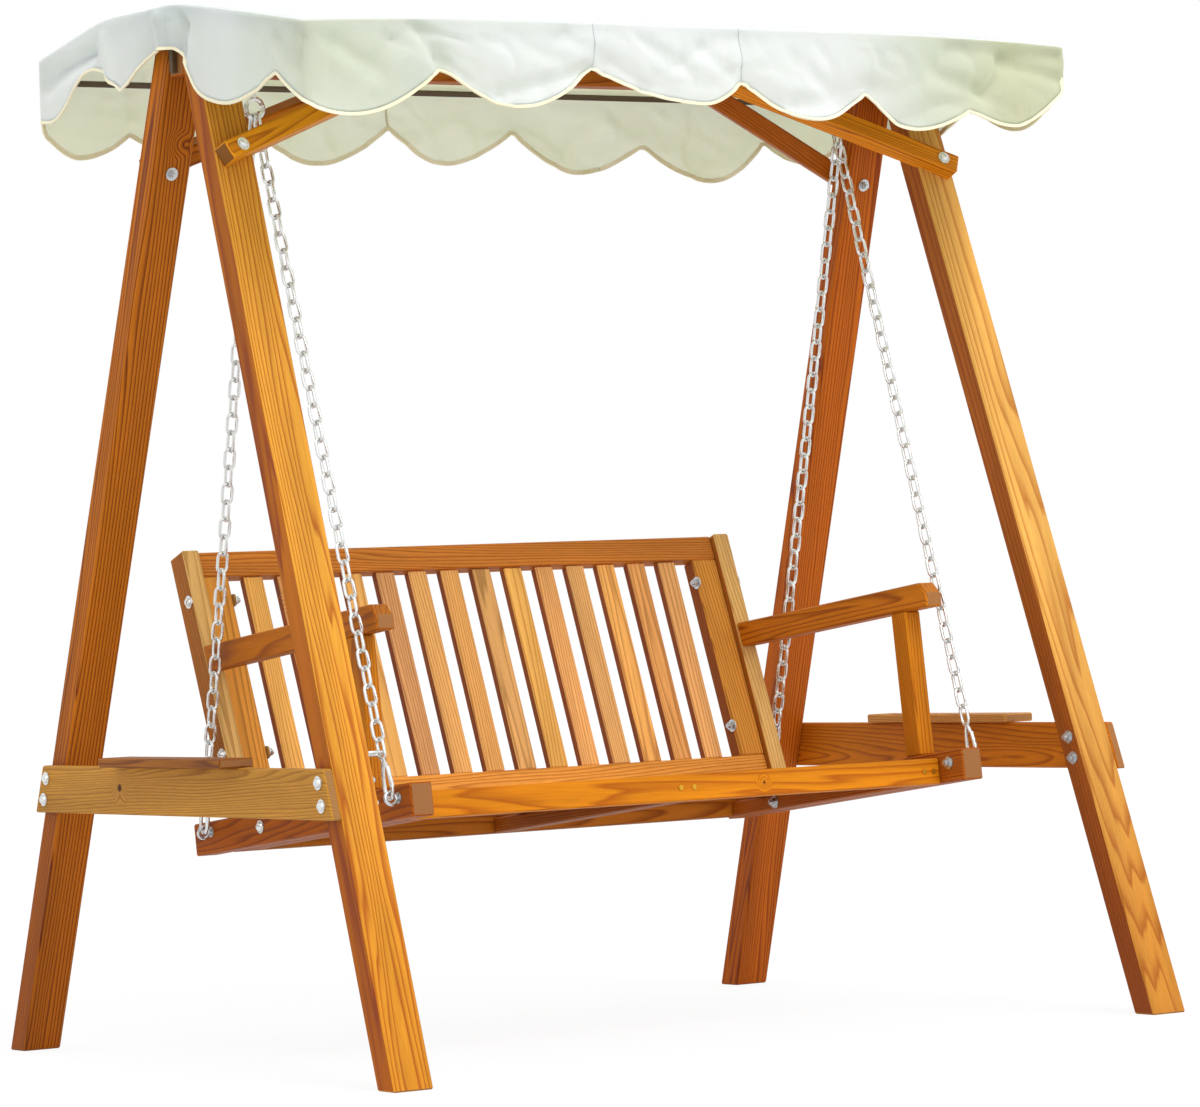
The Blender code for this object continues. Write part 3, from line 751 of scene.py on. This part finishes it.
def woven(name, tone, shadow, through=0.75, painted_shade_stops=()):
    """Woven cloth that lets light through, with shadow for its soiled patches, and with painted shade from
    the given stops multiplied into its upright parts.
    """
    made, tree = new_material(name)
    spots = add(tree, "ShaderNodeTexCoord")
    place = spots.outputs["Object"]
    wave = {"Vector": place, "Scale": one_wave_per_metre / thread_pitch, "Distortion": 0.4}
    bands = {"wave_type": "BANDS", "wave_profile": "SIN"}
    threads = [add(tree, "ShaderNodeTexWave", wave, bands_direction=axis, **bands) for axis in "XYZ"]
    threads = [thread.outputs["Fac"] for thread in threads]
    cross = calculate(tree, "MULTIPLY", threads[0], threads[1])
    cross = calculate(tree, "ADD", cross, threads[2])
    weave = calculate(tree, "MULTIPLY", cross, thread_relief)
    crumple = mottle(tree, place, scale=26.0, detail=5.0, roughness=0.6)
    height = calculate(tree, "ADD", weave, crumple)
    soiled = spread(tree, mottle(tree, place, scale=5.0, detail=4.0), *soil_noise, 0.0, 1.0)
    colour = blend(tree, soiled, linear(tone), linear(shadow))
    # Painted shade: the stops' colours are multiplied into the upright faces along x minus y.
    if painted_shade_stops:
        corner_reach = half_length + half_depth
        around = combine(tree, "DOT_PRODUCT", place, (1, -1, 0))
        around = spread(tree, around, -corner_reach, corner_reach, 0.0, 1.0)
        shades = ramp(tree, around, [(position, linear(code)) for position, code in painted_shade_stops])
        upward = add(tree, "ShaderNodeSeparateXYZ", {0: spots.outputs["Normal"]}).outputs["Z"]
        upright = spread(tree, upward, *upright_range, 0.0, 1.0)
        colour = blend(tree, upright, colour, shades, how="MULTIPLY")
    cloth = {
        "Base Color": colour,
        "Roughness": 0.85,
        "Subsurface Weight": through,
        "Subsurface Scale": 0.02,
        "Subsurface Radius": (1.0, 1.0, 0.9),
        "Sheen Weight": 0.15,
        "Normal": bump(tree, height, strength=0.45, distance=0.004),
    }
    surface(tree, add(tree, "ShaderNodeBsdfPrincipled", cloth))
    return made


outer_cloth = woven("white_polyester_weave", "f1fcf7", "e7f4ea", painted_shade_stops=valance_painted_shade)
# The inside of the cloth is painted shade: a darker beige copy of the white cloth, for the shaded underside
# of the roof.
shaded_inner_cloth = woven("beige_painted_shade_inside", "dbe4b7", "d3daa6")

# Hem: places along each side, from the front left corner round to the left, with the height there
# and whether the hem is pointed there. The left hem is caught up over the legs.
front_hem = (
    (-0.680, 1.494, 0), (-0.506, 1.570, 1), (-0.359, 1.513, 0), (-0.219, 1.578, 1), (-0.012, 1.524, 0),
    (0.069, 1.561, 1), (0.215, 1.504, 0), (0.331, 1.552, 1), (0.432, 1.493, 0), (0.539, 1.525, 1),
    (0.645, 1.502, 0), (0.745, 1.560, 0),
)
right_hem = (
    (-0.440, 1.586, 1), (-0.300, 1.512, 0), (-0.160, 1.568, 1), (0.0, 1.505, 0), (0.150, 1.572, 1),
    (0.300, 1.510, 0),
)
rear_hem = (
    (0.753, 1.558, 1), (0.626, 1.485, 0), (0.474, 1.547, 1), (0.333, 1.497, 0), (0.192, 1.567, 1),
    (0.056, 1.510, 0), (-0.063, 1.571, 1), (-0.217, 1.504, 0), (-0.335, 1.562, 1), (-0.462, 1.508, 0),
    (-0.583, 1.548, 1), (-0.677, 1.507, 0), (-0.740, 1.540, 0),
)
left_hem = (
    (0.440, 1.568, 1), (0.385, 1.563, 0), (0.335, 1.584, 0), (0.300, 1.611, 0), (0.269, 1.629, 0),
    (0.241, 1.634, 0), (0.214, 1.631, 0), (0.187, 1.622, 0), (0.168, 1.606, 0), (0.147, 1.588, 1),
    (0.124, 1.599, 0), (0.089, 1.618, 0), (0.056, 1.632, 0), (0.023, 1.641, 0), (-0.006, 1.642, 0),
    (-0.036, 1.638, 0), (-0.056, 1.622, 0), (-0.079, 1.591, 0), (-0.105, 1.563, 0), (-0.145, 1.545, 0),
    (-0.208, 1.534, 0), (-0.280, 1.544, 0), (-0.324, 1.560, 0), (-0.349, 1.568, 1),
)
slope_at_point = 1.75
slope_beside_point = 0.4
long_side = 2 * half_length
short_side = 2 * half_depth
girth = 2 * long_side + 2 * short_side
hem_points = [(x + half_length, z, pointed) for x, z, pointed in front_hem]
hem_points += [(long_side + y + half_depth, z, pointed) for y, z, pointed in right_hem]
hem_points += [(long_side + short_side + half_length - x, z, pointed) for x, z, pointed in rear_hem]
hem_points += [(2 * long_side + short_side + half_depth - y, z, pointed) for y, z, pointed in left_hem]


def hem_height(place):
    """The height of the hem at a distance round the eave: rounded lobes that meet in points."""
    count = len(hem_points)
    for i in range(count):
        start, low, start_pointed = hem_points[i]
        finish, high, finish_pointed = hem_points[(i + 1) % count]
        span = (finish - start) % girth
        gone = (place - start) % girth
        if gone > span:
            continue
        share = gone / span
        chord = high - low
        before, below, _ = hem_points[i - 1]
        after, above, _ = hem_points[(i + 2) % count]
        leave = (high - below) / ((finish - before) % girth) * span
        arrive = (above - low) / ((after - start) % girth) * span
        if start_pointed:
            leave = chord * slope_at_point
        elif finish_pointed:
            leave *= slope_beside_point
        if finish_pointed:
            arrive = chord * slope_at_point
        elif start_pointed:
            arrive *= slope_beside_point
        square = share * share
        cube = square * share
        height = low * (2 * cube - 3 * square + 1) + leave * (cube - 2 * square + share)
        return height + high * (3 * square - 2 * cube) + arrive * (cube - square)
    return hem_points[0][1]


# Creases pressed into the slack valance: where each starts and ends, as a distance round the eave
# from the front left corner and a height, and how deep it lies.
creases = (
    (-0.079, 1.617, -0.043, 1.575, 0.005), (-0.008, 1.614, -0.026, 1.562, 0.006),
    (0.048, 1.610, 0.136, 1.558, 0.004), (0.197, 1.649, 0.253, 1.575, 0.008),
    (0.361, 1.532, 0.523, 1.574, 0.008), (0.399, 1.612, 0.474, 1.590, 0.004),
    (0.630, 1.627, 0.726, 1.573, 0.005), (0.748, 1.614, 0.815, 1.567, 0.004),
    (0.932, 1.527, 1.066, 1.531, 0.005), (0.928, 1.602, 1.008, 1.555, 0.004),
    (1.094, 1.554, 1.113, 1.591, 0.004), (1.318, 1.559, 1.230, 1.585, 0.006),
    (1.335, 1.554, 1.373, 1.611, 0.008), (1.373, 1.611, 1.498, 1.584, 0.006),
    (1.252, 1.633, 1.495, 1.624, 0.006), (3.945, 1.620, 4.120, 1.661, 0.006),
    (3.947, 1.650, 4.113, 1.659, 0.004), (4.160, 1.683, 4.182, 1.612, -0.007),
    (4.343, 1.703, 4.352, 1.642, -0.007), (4.423, 1.677, 4.410, 1.632, 0.007),
)
crease_width = 0.020
crease_push = 1.9


def pressed_in(place, height):
    """How far the creases push the valance in at a place round the eave and a height."""
    total = 0.0
    for start, start_height, finish, finish_height, depth in creases:
        run = finish - start
        climb = finish_height - start_height
        away = (place - start + girth / 2) % girth - girth / 2
        share = (away * run + (height - start_height) * climb) / (run * run + climb * climb)
        share = min(max(share, 0.0), 1.0)
        gap = sqrt((away - run * share) ** 2 + (height - start_height - climb * share) ** 2)
        total += crease_push * depth * max(0.0, 1 - gap / crease_width)
    return total


# Roof and valance: one surface, from a grid over the roof and rows that hang from its eave. The
# cloth dips between the bars, stands up at the left rear, and falls in soft folds to the hem.
columns = 200
rows = 100
valance_rows = 16
eave_slope = (ridge - eave) / (sqrt(half_depth**2 + ridge_rounding**2) - ridge_rounding)
tube_reach = 0.7355
bar_reach = 0.409
held_margin = 0.10
roof_sag = 0.008
roof_crease = 0.007
roof_crease_stretch = 0.4
roof_crease_scale = 5.0
roof_crease_seed = 3.1
roof_softness = 0.006
roof_soft_scales = (8, 5)
roof_soft_seed = 1.7
front_lift = 0.012
front_lift_run = (0.15, 0.44)
rear_puff = 0.030
rear_puff_along = (0.20, 0.65)
rear_puff_across = (0.0, 0.24)
seed_spread = Vector((1, 0.37, 1.9))
crease_sharpness = 6
taut_left_end = 0.3
taut_corner = 0.15
taut_per_metre = 6
wave_depth = 0.016
wave_scale = 6.5
wave_change = 0.8
wave_seed = 4.0
belly_depth = 0.008
belly_stretch = 1.1
flare = 0.004
end_margin = 0.001
fold_onset = 4
fold_fade = 0.4
crease_onset = 5
# How deep each set of folds is, how far it slants along the eave, its stretch, scale and seed.
fold_sets = (
    (0.011, 0.09, 1.0, 5.0, 8.0),
    (0.008, -0.12, 1.6, 8.0, 5.0),
    (0.004, 0.0, 1.2, 17.0, 2.0),
)


def ease(value, start, finish):
    """A smooth rise from 0 at start to 1 at finish."""
    share = min(max((value - start) / (finish - start), 0.0), 1.0)
    return share * share * (3 - 2 * share)


def plan(x, y):
    """A place on the roof's rectangle, moved in where the corners are rounded."""
    across_corner = (abs(x) - half_length + corner_radius) / corner_radius
    along_corner = (abs(y) - half_depth + corner_radius) / corner_radius
    if across_corner <= 0 or along_corner <= 0:
        return x, y
    new_x = half_length - corner_radius + corner_radius * across_corner * sqrt(1 - along_corner**2 / 2)
    new_y = half_depth - corner_radius + corner_radius * along_corner * sqrt(1 - across_corner**2 / 2)
    return (new_x if x > 0 else -new_x), (new_y if y > 0 else -new_y)


def crease(x, y, z, scale, seed):
    """1 on a wandering crease line and 0 away from it."""
    value = noise.noise(Vector((x, y, z)) * scale + seed_spread * seed)
    return max(0.0, 1 - abs(value) * crease_sharpness) ** 2


def roof_height(y):
    return ridge - eave_slope * (sqrt(y * y + ridge_rounding**2) - ridge_rounding)


def roof_place(x, y):
    """The slack cloth over the tube: it dips between the bars, and stands up at the left rear."""
    along = abs(x) / half_length
    depth = abs(y) / half_depth
    free = ease(tube_reach - abs(x), 0.0, held_margin) * ease(bar_reach - abs(y), 0.0, held_margin)
    sag = roof_sag * sin(pi * depth) ** 2
    line = roof_crease * crease(x, y * roof_crease_stretch, 0, roof_crease_scale, roof_crease_seed)
    soft_x, soft_y = roof_soft_scales
    soft = roof_softness * noise.noise(Vector((x * soft_x, y * soft_y, roof_soft_seed)))
    lift = front_lift * max(0.0, 1 - along**4) * ease(-y, *front_lift_run)
    puff = rear_puff * ease(-x, *rear_puff_along) * ease(y, *rear_puff_across)
    new_x, new_y = plan(x, y)
    return Vector((new_x, new_y, roof_height(y) + (soft - sag - line) * free + lift + puff + over_tube))


def valance_place(x, y, place, share):
    """A point of the valance under the eave point x, y, at a share of its drop."""
    top = roof_place(x, y)
    inner_x = min(max(x, corner_radius - half_length), half_length - corner_radius)
    inner_y = min(max(y, corner_radius - half_depth), half_depth - corner_radius)
    out = Vector((top.x - inner_x, top.y - inner_y, 0)).normalized()
    height = top.z - (top.z - hem_height(place)) * share
    from_corner = half_length - abs(x) + half_depth - abs(y)
    taut = min(1.0, taut_corner + taut_per_metre * from_corner)
    if x < end_margin - half_length:
        taut *= taut_left_end
    spot = Vector((top.x * wave_scale, top.y * wave_scale, share * wave_change + wave_seed))
    wave = wave_depth * noise.noise(spot)
    folded = 0.0
    for deep, slant, stretch, scale, seed in fold_sets:
        folded += deep * crease(top.x + share * slant, top.y, height * stretch, scale, seed)
    folded *= min(1.0, share * fold_onset) * (1 - fold_fade * share)
    belly = belly_depth * sin(pi * min(share * belly_stretch, 1.0))
    reach = (share * (flare + wave) + belly - folded) * taut
    reach -= pressed_in(place, height) * min(1.0, share * crease_onset)
    return Vector((top.x, top.y, height)) + out * reach


def nominal(i, j):
    return long_side * i / columns - half_length, short_side * j / rows - half_depth


eaves = [(i, 0, long_side * i / columns) for i in range(columns)]
eaves += [(columns, j, long_side + short_side * j / rows) for j in range(rows)]
eaves += [(columns - i, rows, long_side + short_side + long_side * i / columns) for i in range(columns)]
eaves += [(0, rows - j, 2 * long_side + short_side + short_side * j / rows) for j in range(rows)]
shape = bmesh.new()
grid = [[shape.verts.new(roof_place(*nominal(i, j))) for j in range(rows + 1)] for i in range(columns + 1)]
for i in range(columns):
    for j in range(rows):
        shape.faces.new((grid[i][j], grid[i + 1][j], grid[i + 1][j + 1], grid[i][j + 1]))
upper = [grid[i][j] for i, j, place in eaves]
for row in range(1, valance_rows + 1):
    share = row / valance_rows
    lower = [shape.verts.new(valance_place(*nominal(i, j), place, share)) for i, j, place in eaves]
    for i in range(len(eaves)):
        following = (i + 1) % len(eaves)
        shape.faces.new((upper[i], lower[i], lower[following], upper[following]))
    upper = lower
bmesh.ops.recalc_face_normals(shape, faces=shape.faces)
if grid[columns // 2][rows // 2].normal.z < 0:
    bmesh.ops.reverse_faces(shape, faces=shape.faces)
inside = [vertex for vertex in shape.verts if not vertex.is_boundary]
bmesh.ops.smooth_vert(shape, verts=inside, factor=0.5, use_axis_x=True, use_axis_y=True, use_axis_z=True)
shape.normal_update()
hem_line = [(vertex.co.copy(), vertex.normal.copy()) for vertex in upper]
cover_mesh = bpy.data.meshes.new("canopy_cloth")
shape.to_mesh(cover_mesh)
shape.free()
cover_mesh.shade_smooth()
cover_mesh.materials.append(outer_cloth)
cover_mesh.materials.append(shaded_inner_cloth)
cover = bpy.data.objects.new("canopy_cloth", cover_mesh)
bpy.context.scene.collection.objects.link(cover)
thicken = cover.modifiers.new("cloth", "SOLIDIFY")
thicken.thickness = cloth_thickness
thicken.offset = -1.0
thicken.material_offset = 1
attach(cover, "stand")
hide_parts("canopy_cover")


# Hem binding and seams: cream tape folded over the hem, two stitched joins that run up the front
# valance from its points, and one join that shows inside the rear valance under a strip of tape.
tape_outside = 0.0035
tape_inside = 0.0070
tape_proud = 0.0009
seam_steps = 16
seam_width = 0.0020
seam_tape_width = 0.0042
tape = woven("cream_binding_tape", "f6efd0", "efe5c0", through=0.0)
shape = bmesh.new()
rings = []
for i, (point, out) in enumerate(hem_line):
    along = hem_line[(i + 1) % len(hem_line)][0] - hem_line[i - 1][0]
    rise = out.cross(along).normalized()
    rise = -rise if rise.z < 0 else rise
    outside = point + out * tape_proud
    inside = point - out * (cloth_thickness + tape_proud)
    corners = (outside + rise * tape_outside, outside - rise * tape_proud,
               inside - rise * tape_proud, inside + rise * tape_inside)
    rings.append([shape.verts.new(corner) for corner in corners])
for i, ring in enumerate(rings):
    following = rings[(i + 1) % len(rings)]
    for j in range(4):
        shape.faces.new((ring[j], ring[(j + 1) % 4], following[(j + 1) % 4], following[j]))
binding = piece_from(shape, "hem_binding", tape, "stand", smooth=60)
front_seams = {"front_left": -0.219, "front_middle": 0.069}
rear_seam = -0.063
joins = []
for word, x in front_seams.items():
    joins.append((word, x, -half_depth, x + half_length, seam_width, outer_cloth, 0.0))
place = long_side + short_side + half_length - rear_seam
joins.append(("rear", rear_seam, half_depth, place, seam_tape_width, tape, -cloth_thickness))
for word, x, y, place, width, material, shift in joins:
    points = [valance_place(x, y, place, step / seam_steps) for step in range(seam_steps + 1)]
    points = [point + Vector((0, shift, 0)) for point in points]
    shape = bmesh.new()
    bend_wire(shape, points, width, closed=False, sides=8)
    piece_from(shape, f"valance_seam_{word}", material, "stand", smooth=60)
